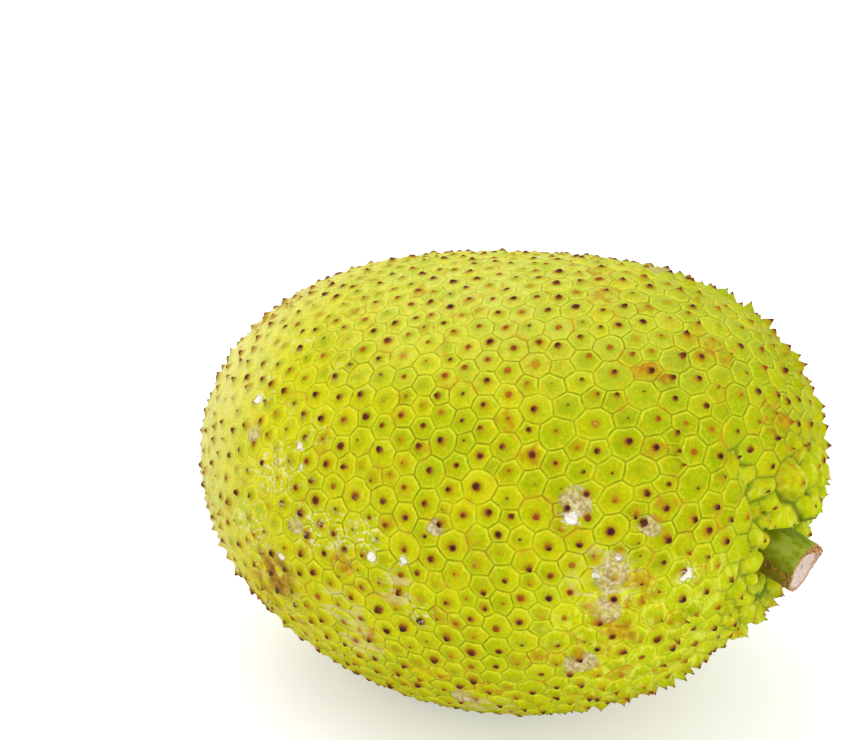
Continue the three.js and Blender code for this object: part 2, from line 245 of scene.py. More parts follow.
# %% [markdown]
# ## The shape of one cell
# A cell is worked out in sectors, one for each of its sides: a sector runs from the nub's tip
# out to one side of the groove. Over a sector lie five rings: the nub's lip, its foot, the
# middle of the face, the shoulder, and the groove itself. The two small rings need one step
# across a sector and the large ones two, which keeps a cell at fourteen triangles a side. All
# sectors of all cells are computed at once, as whole arrays.

# %% How high the face stands and how the cell leans
FACE_RISE = 0.64 * MM
COLLAR_FACE_RISE = 3.4 * MM
FAR_END_SHARE = 0.3
FACE_TILT = 0.05
NUB_LEAN = 0.42

rise = FACE_RISE * (FAR_END_SHARE + (1 - FAR_END_SHARE) * ramp(to_stem, 0.1, 0.55))
rise = rise + (COLLAR_FACE_RISE - FACE_RISE) * in_collar
rise = rise * (1 + 0.2 * rng.standard_normal((cell_count, 1)).clip(-2, 2))
rise = np.minimum(rise, 0.6 * size)
tilt = FACE_TILT * rng.standard_normal((cell_count, 3))
lean = rng.standard_normal((cell_count, 3)) + np.array([0.5, 0, 0]) * pointed
lean = NUB_LEAN * nub * (lean - dot(lean, out) * out).clip(-1.5, 1.5)
print("faces rise, mm: mean %.2f, in the collar %.2f"
      % (rise.mean() / MM, rise[in_collar > 0.9].mean() / MM))

# %% Where two sectors meet, and the gentle bow of each groove
GROOVE_BOW = 0.16 * MM

number = np.arange(sector_count)
following = edge_numbers(
    cell, corner[:, 0], cell, corner[:, 1], len(corner_points) + cell_count)
opposite = edge_numbers(
    corner[:, 0], corner[:, 1], corner[:, 1], corner[:, 0], len(corner_points))
owner = np.where((opposite >= 0) & (opposite < number), opposite, number)
bow = GROOVE_BOW * rng.standard_normal((sector_count, 1)).clip(-2, 2)
bow = bow * np.cross(out[cell], unit(corner_b - corner_a)) * (opposite >= 0)[:, None]
side_middle = (corner_a + corner_b) / 2 + bow[owner]
print("sides at the socket's rim:", int((opposite < 0).sum()))

# %% The five rings of a sector
SHOULDER = 0.62 * MM
SHOULDER_AT_CORNER = 1.05 * MM
FOOT_RADIUS = 1.05 * MM
MIDDLE_SHARE = 0.6


def spokes(columns):
    """The way from a cell's foot to the groove, for a ring's points across a sector."""
    if columns == 1:
        return (corner_a - foot[cell])[:, None]
    return np.stack([corner_a, side_middle], 1) - foot[cell][:, None]


def ring(share, lift, spoke):
    """One ring: a share of the way out to the groove, lifted off the plane of the cell."""
    slope = dot(spoke * share, tilt[cell][:, None]) * ramp(1 - share, 0, 0.4)
    return foot[cell][:, None] + spoke * share + out[cell][:, None] * (lift + slope)


face, nub_top, spike, puff = (v[cell][:, None] for v in (rise, nub, pointed, in_collar))
near, far = spokes(1), spokes(2)
reach_near, reach_far = (np.linalg.norm(v, axis=2, keepdims=True) for v in (near, far))
at_corner = np.array([1.0, 0.0])[None, :, None]
shoulder = SHOULDER + (SHOULDER_AT_CORNER - SHOULDER) * at_corner
shoulder = shoulder * (1 + 0.7 * in_collar[cell][:, None]) * (reach_far / (3.2 * MM)) ** 0.5
lip_radius = np.minimum((0.72 + 0.25 * spike) * dot_radius[cell][:, None], 0.25 * reach_near)
foot_radius = np.minimum(FOOT_RADIUS + (0.25 + 0.35 * spike) * nub_top, 0.5 * reach_near)
shares = [
    lip_radius / reach_near,
    foot_radius / reach_near,
    np.full_like(reach_far, MIDDLE_SHARE),
    1 - (shoulder / reach_far).clip(0, 0.38),
]
lifts = [
    face + nub_top * (0.85 - 0.12 * spike),
    face * 1.1 + nub_top * (0.08 + 0.2 * spike),
    face * (1.0 - 0.1 * puff) + nub_top * 0.08 * spike,
    face * (0.66 - 0.1 * puff),
]
rings = [ring(s, lift, v) for s, lift, v in zip(shares, lifts, (near, near, far, far))]
groove_ring = np.stack([corner_a, side_middle], 1)
print("nub above its face, mm: mean %.2f, most %.2f" % (nub.mean() / MM, nub.max() / MM))

# %% [markdown]
# ## One numbered list of points
# Neighbours must share their points, or the skin would fall apart in cracks. So the points get
# numbers in blocks: the tips, then the rings, then the corners of the grooves and last the
# middles of the grooves' sides. A sector owns its own first column. Its last column is the
# first one of the next sector, and a groove's middle belongs to whichever of its two sectors
# comes first.

# %% Number the points
ring_numbers = []
total = cell_count
for values in rings:
    columns = values.shape[1]
    own = total + number[:, None] * columns + np.arange(columns)
    ring_numbers.append(np.concatenate([own, own[following][:, :1]], 1))
    total += sector_count * columns
corner_start, side_start = total, total + len(corner_points)
total = side_start + sector_count
groove_numbers = np.stack(
    [corner_start + corner[:, 0], side_start + owner, corner_start + corner[:, 1]], 1)
print("points in the list:", total)

# %% Lay the faces between the rings
def strip(inner, outer):
    """Four-sided faces between two rings with the same number of points."""
    faces = [inner[:, :-1], outer[:, :-1], outer[:, 1:], inner[:, 1:]]
    return np.stack(faces, -1).reshape(-1, 4)


lip, foot_ring, mid, edge = ring_numbers
tips = cell[:, None]
triangles = np.concatenate([
    np.concatenate([tips, lip], 1),
    np.stack([foot_ring[:, 0], mid[:, 0], mid[:, 1]], 1),
    np.stack([foot_ring[:, 0], mid[:, 1], foot_ring[:, 1]], 1),
    np.stack([foot_ring[:, 1], mid[:, 1], mid[:, 2]], 1),
])
quads = np.concatenate([strip(lip, foot_ring), strip(mid, edge), strip(edge, groove_numbers)])
triangle_cell = np.tile(cell, 4)
quad_cell = np.concatenate([cell, np.repeat(cell, 2), np.repeat(cell, 2)])
print("faces:", len(triangles), "three-sided and", len(quads), "four-sided")

# %% Fill in the points
FLAT_GROOVE = 0.35 * MM


def spread(tip_value, ring_values, groove_value):
    """Writes a value of the tips, the rings and the grooves into the list of points."""
    result = np.zeros((total, tip_value.shape[1]))
    result[:cell_count] = tip_value
    for numbers, value in zip(ring_numbers, ring_values):
        result[numbers[:, :-1]] = value
    result[groove_numbers[:, :2]] = groove_value
    return result


upright = spread(foot + out * (rise + nub), rings, groove_ring)
lean_near = lean[cell][:, None]
points = upright + spread(
    lean, [0.75 * lean_near, 0.1 * lean_near, 0 * lean_near, 0 * lean_near], 0)
groove_list = np.unique(groove_numbers)
points[groove_list, 2] = np.maximum(points[groove_list, 2], FLAT_GROOVE)
points = points.clip(cad_box[0], cad_box[1])
print("lowest point, mm: %.2f" % (points[:, 2].min() / MM))

# %% [markdown]
# ## The crease that runs up from the stem
# The fruit swelled faster than its stalk, and on one side the collar folded on itself. The fold
# is a line between two places on the skin: every point near it sinks in towards the middle of
# the fruit, by a share that fades with its distance from the line.

# %% Sink the crease
CREASE_ENDS = np.array([(94, -17, 81), (88, -22, 100)]) * MM
CREASE_WIDTH = 3.6 * MM
CREASE_DEPTH = 3.2 * MM

crease_way = CREASE_ENDS[1] - CREASE_ENDS[0]
along = dot(points - CREASE_ENDS[0], crease_way) / (crease_way @ crease_way)
from_crease = np.linalg.norm(points - CREASE_ENDS[0] - along.clip(0, 1) * crease_way, axis=1)
in_crease = np.exp(-(from_crease / CREASE_WIDTH) ** 2)
body_middle = (body_low + body_high) / 2
points = points - (CREASE_DEPTH * in_crease)[:, None] * unit(points - body_middle)
print("points in the crease:", int((in_crease > 0.5).sum()))

# %% [markdown]
# ## Marks of a life on the tree
# A real fruit has been knocked, scraped and dripped on. Its scabs, rusty stains, scars and drops
# of dried latex lie in a few places rather than evenly all over. A mark is written as three
# given numbers: how far along the fruit it lies (0 at the far end, 1 at the stem), how
# many degrees round it (0 on the near side, 90 on top), and its size in millimetres. Every point
# of the skin then gets its share of each kind of mark, and the finish later breaks the smooth
# shares up into ragged shapes. Fine spatter is latex too, so it uses the same value, only never
# more than a third of it.

# %% The marks: share of the length, degrees round the fruit, size in millimetres
LATEX = [
    (0.9, 7, 2.4), (0.81, 7, 1.3), (0.83, 12, 1.1), (0.77, 20, 2.0), (0.25, 28, 1.6),
    (0.36, 21, 1.4), (0.37, 17, 1.0), (0.35, -4, 1.3), (0.51, 3, 1.5), (0.56, 4, 1.2),
    (0.74, 160, 2.0), (0.53, 98, 1.4),
]
SPATTER = [
    (0.32, 13, 7), (0.29, 0, 7), (0.41, 5, 6), (0.45, 6, 6), (0.5, 7, 4.5), (0.48, 180, 9),
    (0.16, 140, 9), (0.59, -7, 4),
]
SCABS = [
    (0.77, 24, 4.4), (0.83, 8, 5.2), (0.82, -2, 4.2), (0.86, 22, 3.2), (0.79, -19, 4.6),
    (0.6, 12, 2.6), (0.38, 4, 2.8), (0.26, 20, 3.2), (0.62, -34, 5), (0.59, 170, 7),
    (0.27, 178, 6), (0.7, 108, 5), (0.16, -105, 7),
]
STAINS = [
    (0.21, -33, 15), (0.31, -17, 9), (0.94, 80, 6), (0.88, 168, 7), (0.81, 61, 4.2),
    (0.86, 5, 5.5), (0.84, -8, 6.5), (0.78, -13, 5), (0.47, 0, 4.6), (0.13, 70, 12),
    (0.06, -38, 10), (0.86, 81, 5), (0.79, -60, 9), (0.16, 190, 14), (0.64, 186, 12),
    (0.37, 118, 10),
]
SCARS = [
    (0.34, -10, 7.5), (0.22, -32, 9), (0.55, -3, 5), (0.46, -12, 6.5), (0.48, -19, 6.5),
    (0.3, -44, 9), (0.64, -42, 10), (0.82, 7, 8), (0.16, 76, 9), (0.43, 193, 12),
]

body_length = body_high[0] - body_low[0]
beside, above = body_middle[1] - points[:, 1], points[:, 2] - body_middle[2]
angle, from_axis = np.arctan2(above, beside), np.hypot(above, beside)


def mark_share(marks):
    """How much of a kind of mark each point has: 1 at a mark's middle, 0 beyond its size.

    A mark's middle is the point whose distance along and round the fruit is least.
    """
    along, degrees, reach = np.array(marks).T
    off_along = points[:, :1] - body_low[0] - along * body_length
    off_round = (angle[:, None] - np.radians(degrees) + math.pi) % (2 * math.pi) - math.pi
    nearest = np.hypot(off_along, off_round * from_axis[:, None]).argmin(0)
    away = np.linalg.norm(points[:, None] - points[nearest], axis=2)
    return (1 - away / (1.6 * reach * MM)).clip(0, 1).max(1)


drops = np.maximum(mark_share(LATEX), mark_share(SPATTER) / 3)
marks = np.stack([mark_share(STAINS), mark_share(SCABS), drops, mark_share(SCARS)], 1)
print("points in a stain, scab, latex drop or scar:", (marks > 0.4).sum(0))

# %% [markdown]
# ## What the finish needs to know
# The skin's colours follow its cells: a thin dark line in the groove, a pale rim inside it that is
# partly a painted highlight, and a brown nub in the middle. So the mesh carries a few values for
# the
# shader to read: how far a point is from the groove, its place on its own cell, a few numbers that
# are the same all over one cell, and the colour of that cell's nub. A colour has four parts, so
# the numbers of a cell are filled up with a plain 1.

# %% Colours, made linear for the shader
def srgb(red, green, blue):
    """A colour written as it looks on a screen, 0 to 255, made linear for the shader."""
    value = np.array([red, green, blue]) / 255
    linear = np.where(value <= 0.04045, value / 12.92, ((value + 0.055) / 1.055) ** 2.4)
    return (*linear.tolist(), 1.0)


# %% Values of points and of cells
distance_layers = [(1 - share) * v for share, v in zip(
    shares, (reach_near, reach_near, reach_far, reach_far))]
from_groove = spread(size, distance_layers, 0)[:, 0] / MM

cell_right = unit(np.cross(out, np.cross(np.array([1.0, 0.0, 0.0]), out) + 1e-9))
cell_up = np.cross(out, cell_right)

dark_tint = np.array([srgb(62, 28, 34), srgb(92, 42, 26), srgb(74, 36, 30)])
rusty_tint = np.array([srgb(150, 66, 16), srgb(176, 96, 22), srgb(120, 50, 20)])
bare_tint = np.array([srgb(196, 160, 40), srgb(158, 172, 14), srgb(206, 150, 50)])
choice = rng.integers(0, 3, cell_count)
nub_tint = by_kind(dark_tint[choice], rusty_tint[choice], bare_tint[choice])
cell_tone = np.concatenate([
    rng.random((cell_count, 1)),
    rng.random((cell_count, 1)),
    dot_radius / (2 * MM),
    np.ones((cell_count, 1)),
], 1)
print("dots, mm across: mean %.2f" % (2 * dot_radius.mean() / MM))

# %% [markdown]
# ## Closing the skin at the socket
# The skin still has one hole: the socket that the stem grows out of. Its rim is every side of a
# cell that no other cell shares. The rim is carried straight in along the stem to the socket's
# bottom, and closed there with a fan.

# %% The socket's walls and bottom
open_sectors = np.flatnonzero(opposite < 0)
rim_start = corner[open_sectors, 0]
order = [0]
for _ in open_sectors[1:]:
    order.append(int(np.flatnonzero(rim_start == corner[open_sectors[order[-1]], 1])[0]))
rim_loop = groove_numbers[open_sectors[order], :2].ravel()
wall = points[rim_loop]
wall[:, 0] = socket_x
bottom = total + np.arange(len(rim_loop))
bottom_middle = total + len(rim_loop)
points = np.concatenate([points, wall, wall.mean(0, keepdims=True)])
next_rim = np.roll(rim_loop, -1)
next_bottom = np.roll(bottom, -1)
socket_walls = np.stack([next_rim, rim_loop, bottom, next_bottom], 1)
socket_bottom = np.stack([next_bottom, bottom, np.full(len(bottom), bottom_middle)], 1)
print("socket rim:", len(rim_loop), "points")

# %% Make a mesh piece
def new_mesh(name, points, *face_sets):
    """A mesh object at the origin, from points and sets of faces with equal corner counts."""
    corners = np.concatenate([faces.ravel() for faces in face_sets])
    counts = np.concatenate([np.full(len(faces), faces.shape[1]) for faces in face_sets])
    mesh = bpy.data.meshes.new(name)
    mesh.vertices.add(len(points))
    mesh.vertices.foreach_set("co", points.astype(np.float32).ravel())
    mesh.loops.add(len(corners))
    mesh.loops.foreach_set("vertex_index", corners.astype(np.int32))
    mesh.polygons.add(len(counts))
    mesh.polygons.foreach_set("loop_start", (np.cumsum(counts) - counts).astype(np.int32))
    mesh.polygons.foreach_set("loop_total", counts.astype(np.int32))
    mesh.update(calc_edges=True)
    mesh.polygons.foreach_set("use_smooth", np.ones(len(counts), bool))
    made = bpy.data.objects.new(name, mesh)
    bpy.context.scene.collection.objects.link(made)
    return made


def add_attribute(obj, name, kind, domain, values):
    """Stores a named value on a mesh, one for each point or face corner."""
    attribute = obj.data.attributes.new(name, kind, domain)
    field = {"FLOAT": "value", "FLOAT_VECTOR": "vector"}.get(kind, "color")
    attribute.data.foreach_set(field, values.astype(np.float32).ravel())


def used_only(count, *face_sets):
    """Which of a count of points some face uses, and the faces with those numbered anew."""
    used = np.unique(np.concatenate([faces.ravel() for faces in face_sets]))
    renumber = np.full(count, -1)
    renumber[used] = np.arange(len(used))
    return used, [renumber[faces] for faces in face_sets]


def dress(piece, node):
    """A built piece moves with the fruit and stands for its frame node, which is hidden."""
    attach(piece, "root")
    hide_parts(node)
    piece.data.calc_loop_triangles()
    print(piece.name + ":", len(piece.data.loop_triangles), "triangles")


# %% The skin and the values it carries
used, face_sets = used_only(len(points), triangles, quads, socket_walls, socket_bottom)
fruit_skin = new_mesh("fruit_skin", points[used], *face_sets)

socket_corners = socket_walls.size + socket_bottom.size
corner_cell = np.concatenate([np.repeat(triangle_cell, 3), np.repeat(quad_cell, 4)])
corner_point = np.concatenate([triangles.ravel(), quads.ravel()])
from_foot = upright[corner_point] - foot[corner_cell]
cell_place = np.concatenate([
    dot(from_foot, cell_right[corner_cell]), dot(from_foot, cell_up[corner_cell]),
    from_foot[:, 2:]], 1) / MM


def padded(values, count, filling):
    """The values with the same filling for a count of further points or face corners."""
    return np.concatenate([values, np.full((count, *values.shape[1:]), filling)])


near_pit = 1 - ramp(np.linalg.norm(points[:total] - pit_mouth, axis=1), 17 * MM, 40 * MM)
for name, kind, values, filling in [
    ("from_groove", "FLOAT", from_groove, 0.0),
    ("skin_marks", "FLOAT_COLOR", marks, 0.0),
    ("in_collar", "FLOAT", np.maximum(near_pit, in_crease), 1.0),
]:
    all_values = padded(values, len(points) - total, filling)
    add_attribute(fruit_skin, name, kind, "POINT", all_values[used])
for name, kind, values, filling in [
    ("cell_place", "FLOAT_VECTOR", cell_place, 5.0),
    ("cell_tone", "FLOAT_COLOR", cell_tone[corner_cell], 0.3),
    ("nub_tint", "FLOAT_COLOR", nub_tint[corner_cell], 0.05),
]:
    add_attribute(fruit_skin, name, kind, "CORNER", padded(values, socket_corners, filling))
dress(fruit_skin, "fruit")

# %% [markdown]
# ## The stem: bark round a cut of wood
# The stalk was cut through, and a little of its bark was left standing past the cut, where it
# dried brown and curled. Both pieces are tubes of rings carried along the same bent line: it
# leaves its socket straight, and then turns down and aside. The bark's rings run up the
# outside, over the rim and back down inside it, so the rim has a real thickness.

# %% The line that the stem follows
STEM_FOOT_RADIUS = 8.1 * MM
STEM_CUT_RADIUS = 7.6 * MM
STEM_STRAIGHT = 7 * MM
STEM_LENGTH = 18.8 * MM
STEM_SIDES = 96
STEM_RINGS = 56

stem_end_way = unit(np.array([0.955, -0.13, -0.215]))
stem_mouth = stem_foot + np.array([STEM_STRAIGHT, 0, 0])
stem_end = stem_mouth + stem_end_way * STEM_LENGTH
stem_length = STEM_STRAIGHT + STEM_LENGTH


def stem_line(along):
    """Middle and way of the stem: straight up to its mouth, then one smooth cubic bend."""
    straight = (along * stem_length < STEM_STRAIGHT)[:, None]
    t = ((along * stem_length - STEM_STRAIGHT) / STEM_LENGTH).clip(0, 1)[:, None]
    knots = [stem_mouth, stem_mouth + np.array([STEM_LENGTH / 3, 0, 0]),
             stem_end - stem_end_way * STEM_LENGTH / 3, stem_end]
    bend = sum(k * w for k, w in zip(
        knots, ((1 - t) ** 3, 3 * t * (1 - t) ** 2, 3 * t * t * (1 - t), t ** 3)))
    way = sum((b - a) * w for a, b, w in zip(
        knots, knots[1:], ((1 - t) ** 2, 2 * t * (1 - t), t * t)))
    middle = np.where(straight, stem_foot + np.outer(along * stem_length, [1, 0, 0]), bend)
    return middle, unit(np.where(straight, np.array([1.0, 0, 0]), way))


print("stem end at, mm:", np.round(stem_end / MM, 1))

# %% Rings round the stem's line
turns = np.linspace(0, 2 * math.pi, STEM_SIDES, endpoint=False)


def stem_rings(along, radius, push):
    """Points round the stem's line: a radius from it, and pushed on along it past its place."""
    middle, way = stem_line(along)
    aside = unit(np.array([0, 1.0, 0]) - dot(np.array([0, 1.0, 0]), way) * way)
    upward = np.cross(way, aside)
    round_it = aside[:, None] * np.cos(turns)[:, None] + upward[:, None] * np.sin(turns)[:, None]
    return middle[:, None] + round_it * radius[..., None] + way[:, None] * push[..., None]


def waves(seed, rows, finest, strength):
    """Gentle ripples round the stem that change slowly along it: a sum of a few sines."""
    own = np.random.default_rng(seed)
    result = np.zeros((len(rows), STEM_SIDES))
    for count in range(2, finest):
        start, drift = own.uniform(0, 6.3), own.uniform(-1.2, 1.2)
        result += np.sin(count * turns + start + drift * rows[:, None]) / count ** 0.6
    return strength * result / result.std()


def stem_place(along, radius, push):
    """Where each point of a tube lies on the stem: how far along, and the place round it."""
    far_along = (along * stem_length)[:, None] + push
    place = np.stack([far_along, radius * np.cos(turns), radius * np.sin(turns)], -1) / MM
    return np.concatenate([place.reshape(-1, 3), np.zeros((2, 3))])


def tube(name, along, radius, push, first_cap, last_cap):
    """A closed tube round the stem's line: rings joined in strips, and a fan at both ends."""
    rings = stem_rings(along, radius, push)
    count, around = rings.shape[:2]
    grid = np.arange(count * around).reshape(count, around)
    beside = np.roll(grid, -1, 1)
    walls = np.stack([grid[:-1], beside[:-1], beside[1:], grid[1:]], -1).reshape(-1, 4)
    low, high = count * around, count * around + 1
    ends = np.concatenate([
        np.stack([beside[0], grid[0], np.full(around, low)], 1),
        np.stack([grid[-1], beside[-1], np.full(around, high)], 1),
    ])
    all_points = np.concatenate([rings.reshape(-1, 3), [first_cap, last_cap]])
    made = new_mesh(name, all_points, walls, ends)
    add_attribute(made, "stem_place", "FLOAT_VECTOR", "POINT", stem_place(along, radius, push))
    return made


# %% The bark, with the flap that stands past the cut
BARK_THICKNESS = 0.65 * MM
BARK_RIM = 0.25 * MM
FLAP_LENGTH = 2.45 * MM
FLAP_TURN = math.radians(62)
FLAP_SPREAD = math.radians(34)
CUP_DEPTH = 1.6 * MM

outside = np.linspace(0, 1, STEM_RINGS)
bark_ripple = waves(5, 6 * outside, 12, 0.1 * MM) + waves(8, 25 * outside, 30, 0.05 * MM)
swell = 0.35 * MM * np.exp(-((outside - 0.62) / 0.2) ** 2)[:, None] * np.sin(turns + 2.2)
outer = STEM_FOOT_RADIUS + (STEM_CUT_RADIUS - STEM_FOOT_RADIUS) * outside[:, None]
outer = outer - 0.15 * MM + bark_ripple.clip(-0.3 * MM, 0.15 * MM) + swell.clip(None, 0)
from_flap = (turns - FLAP_TURN + math.pi) % (2 * math.pi) - math.pi
ragged = waves(3, np.zeros(1), 26, 0.22 * MM)[0]
flap = np.exp(-0.5 * (from_flap / FLAP_SPREAD) ** 2)
notch = np.exp(-0.5 * ((from_flap + 0.42) / 0.17) ** 4)
rim_push = BARK_RIM + FLAP_LENGTH * flap * (1 - 0.85 * notch) + ragged * (0.4 + flap)
rim_push = rim_push.clip(0.05 * MM, FLAP_LENGTH)

curl = 0.9 * MM * flap
rim_radius = outer[-1] - curl
profile = [
    (outer[-1] - 0.35 * curl, 0.6 * rim_push), (rim_radius - 0.15 * MM, 0.93 * rim_push),
    (rim_radius - 0.35 * MM, rim_push), (rim_radius - 0.55 * MM, 0.93 * rim_push),
    (outer[-1] - BARK_THICKNESS - 0.4 * curl, 0.55 * rim_push),
    (outer[-1] - BARK_THICKNESS, 0 * rim_push - 0.1 * MM),
    (outer[-1] - BARK_THICKNESS, 0 * rim_push - CUP_DEPTH),
]
bark_along = np.concatenate([outside, np.ones(len(profile))])
bark_radius = np.concatenate([outer, [radius for radius, _ in profile]])
bark_push = np.concatenate([np.zeros_like(outer), [push for _, push in profile]])
stem_bark = tube("stem_bark", bark_along, bark_radius, bark_push,
                 stem_foot, stem_end - stem_end_way * CUP_DEPTH)
dried = np.concatenate([np.zeros(len(outside)), [0.6, 1, 1, 1, 2, 2, 2]])[:, None]
dried = dried * np.ones(STEM_SIDES)
dried[len(outside) - 3:len(outside)] = np.array([0.05, 0.2, 0.45])[:, None]
add_attribute(stem_bark, "dried", "FLOAT", "POINT", np.append(dried.ravel(), [0, 1]))
dress(stem_bark, "stem")

# %% The cut wood inside it
WOOD_SAG = 0.5 * MM
WOOD_THICKNESS = 1.2 * MM

wood_shares = np.array([0.98, 1.0, 0.97, 0.9, 0.78, 0.64, 0.5, 0.36, 0.22, 0.1])
wood_radius = wood_shares[:, None] * (outer[-1] - BARK_THICKNESS + 0.05 * MM)
wood_grain = waves(12, 3 * wood_shares, 20, 0.07 * MM) * (wood_shares > 0.15)[:, None]
wood_push = -WOOD_SAG * (1 - wood_shares[:, None] ** 2) + wood_grain - 0.05 * MM
wood_push[0] = -WOOD_THICKNESS
wood_push[1] = -0.35 * MM
stem_cut = tube("stem_cut", np.ones(len(wood_shares)), wood_radius, wood_push,
                stem_end - stem_end_way * WOOD_THICKNESS,
                stem_end - stem_end_way * (WOOD_SAG + 0.05 * MM))
dress(stem_cut, "stem")

# %% [markdown]
# ## Building materials from code
# A material is a tree of small nodes. One helper adds a node and fills its inputs, either with
# a value or with a wire from another node. A wire knows which tree it belongs to, so the other
# helpers need no tree, and a finish reads like a list of layers of paint.

# %% Helpers for shader nodes
def fill(socket, value):
    """Sets an input: wired up if the value is a socket, written in if it is a number."""
    if isinstance(value, bpy.types.NodeSocket):
        socket.id_data.links.new(value, socket)
    else:
        socket.default_value = value


def add(tree, kind, inputs=None, **settings):
    """Adds a node of a kind, with its settings and inputs."""
    made = tree.nodes.new("ShaderNode" + kind)
    for name, value in settings.items():
        setattr(made, name, value)
    for name, value in (inputs or {}).items():
        fill(made.inputs[name], value)
    return made


def maths(operation, a, b=0.0):
    """One sum on two numbers, in the tree that the first one comes from."""
    return add(a.id_data, "Math", {0: a, 1: b}, operation=operation).outputs[0]


def times(*values):
    """The product of several numbers."""
    return functools.reduce(lambda a, b: maths("MULTIPLY", a, b), values)


def plus(*values):
    """The sum of several numbers."""
    return functools.reduce(lambda a, b: maths("ADD", a, b), values)


def band(value, low, high, start=0.0, end=1.0):
    """A smooth step of a value from start to end, as it goes from low to high."""
    inputs = {"Value": value, "From Min": low, "From Max": high, "To Min": start, "To Max": end}
    made = add(value.id_data, "MapRange", inputs, interpolation_type="SMOOTHSTEP")
    return made.outputs[0]


def blend(share, a, b):
    """Lays colour b over colour a by a share."""
    made = add(share.id_data, "Mix", data_type="RGBA", clamp_factor=True)
    for socket, value in ((made.inputs[0], share), (made.inputs[6], a), (made.inputs[7], b)):
        fill(socket, value)
    return made.outputs[2]


def paint(base, layers):
    """Lays colours over a base, one after another, each by the product of its shares."""
    for colour, *shares in layers:
        colour = colour if isinstance(colour, bpy.types.NodeSocket) else srgb(*colour)
        base = blend(times(*shares), base, colour)
    return base


def noise(place, size_mm, detail=2.0, seed=0.0, stretch=(1, 1, 1)):
    """Soft noise with blotches of about a size in millimetres, from places in metres."""
    wide = add(place.id_data, "Mapping", {
        "Vector": place, "Location": (seed, seed, seed),
        "Scale": [1 / (size_mm * MM * way) for way in stretch]}).outputs[0]
    inputs = {"Vector": wide, "Scale": 1.0, "Detail": detail}
    return add(place.id_data, "TexNoise", inputs).outputs[0]


def blotches(place, noise_settings, low, high, *ends):
    """Noise made a mask: from 0 to 1, or between two other ends, as it goes from low to high."""
    return band(noise(place, *noise_settings), low, high, *ends)


def attribute(tree, name, output):
    """A value that the mesh carries."""
    return add(tree, "Attribute", attribute_name=name).outputs[output]


def split(colour):
    """The three parts of a colour."""
    return add(colour.id_data, "SeparateColor", {"Color": colour}).outputs


def new_material(name, roughness, specular):
    """A material with one Principled shader: its plain numbers are set on its own sockets."""
    material = bpy.data.materials.new(name)
    material.use_nodes = True
    tree = material.node_tree
    shader = tree.nodes["Principled BSDF"]
    fill(shader.inputs["Roughness"], roughness)
    fill(shader.inputs["Specular IOR Level"], specular)
    return material, tree, shader


def from_line(a, b):
    """The distance from a line: the length of a place across it, from its two parts."""
    place = add(a.id_data, "CombineXYZ", {0: a, 1: b}).outputs[0]
    return add(a.id_data, "VectorMath", {0: place}, operation="LENGTH").outputs["Value"]


def give_finish(piece, material, shader, colour, height, depth_mm):
    """Gives a piece its finish: its colour, and relief of a height, 0 to 1, times a depth."""
    inputs = {"Height": height, "Distance": depth_mm * MM, "Strength": 1.0}
    fill(shader.inputs["Base Color"], colour)
    fill(shader.inputs["Normal"], add(height.id_data, "Bump", inputs).outputs[0])
    piece.data.materials.append(material)
    print(piece.name + ":", len(height.id_data.nodes), "nodes")


# %% [markdown]
# ## Groups that several finishes share
# A scab on the skin, a scar on the bark and the dried rim of the cut all have the same ragged
# edge and the same mottling inside. That is one effect, so it is built once, as a node group
# with named inputs, and placed in each finish with its own values.

# %% The group for ragged patches
def new_group(name, inputs, outputs):
    """A node group with named inputs (and their first values) and named outputs."""
    tree = bpy.data.node_groups.new(name, "ShaderNodeTree")

    def new_socket(label, way, kind):
        return tree.interface.new_socket(
            name=label, in_out=way, socket_type="NodeSocket" + kind)

    for label, kind, value in inputs:
        socket = new_socket(label, "INPUT", kind)
        if value is not None:
            socket.default_value = value
    for label, kind in outputs:
        new_socket(label, "OUTPUT", kind)
    return tree, tree.nodes.new("NodeGroupInput").outputs, tree.nodes.new("NodeGroupOutput").inputs


ragged_patch, given, result = new_group("ragged_patch", [
    ("Place", "Vector", None), ("Share", "Float", 0.0), ("Raggedness", "Float", 0.8),
    ("Grain per metre", "Float", 500.0), ("Light", "Color", (1, 1, 1, 1)),
    ("Dark", "Color", (0, 0, 0, 1)),
], [("Mask", "Float"), ("Colour", "Color")])
coarse = add(ragged_patch, "TexNoise", {
    "Vector": given["Place"], "Scale": given["Grain per metre"], "Detail": 4.0,
    "Roughness": 0.65}).outputs[0]
wobble = times(maths("SUBTRACT", coarse, 0.5), given["Raggedness"])
share = plus(given["Share"], wobble)
fill(result["Mask"], band(share, 0.36, 0.5))
finer = times(given["Grain per metre"], 2.3)
mottle = add(ragged_patch, "TexNoise", {
    "Vector": given["Place"], "Scale": finer, "Detail": 3.0}).outputs[0]
fill(result["Colour"], blend(band(mottle, 0.4, 0.62), given["Dark"], given["Light"]))
print("group ready:", ragged_patch.name)

# %% Placing it
def ragged(place, share, raggedness, grain, light, dark):
    """The colour and the mask of a ragged patch, which start a layer of paint."""
    made = add(place.id_data, "Group", node_tree=ragged_patch)
    values = {"Place": place, "Share": share, "Raggedness": raggedness, "Grain per metre": grain,
              "Light": srgb(*light), "Dark": srgb(*dark)}
    for name, value in values.items():
        fill(made.inputs[name], value)
    return made.outputs["Colour"], made.outputs["Mask"]
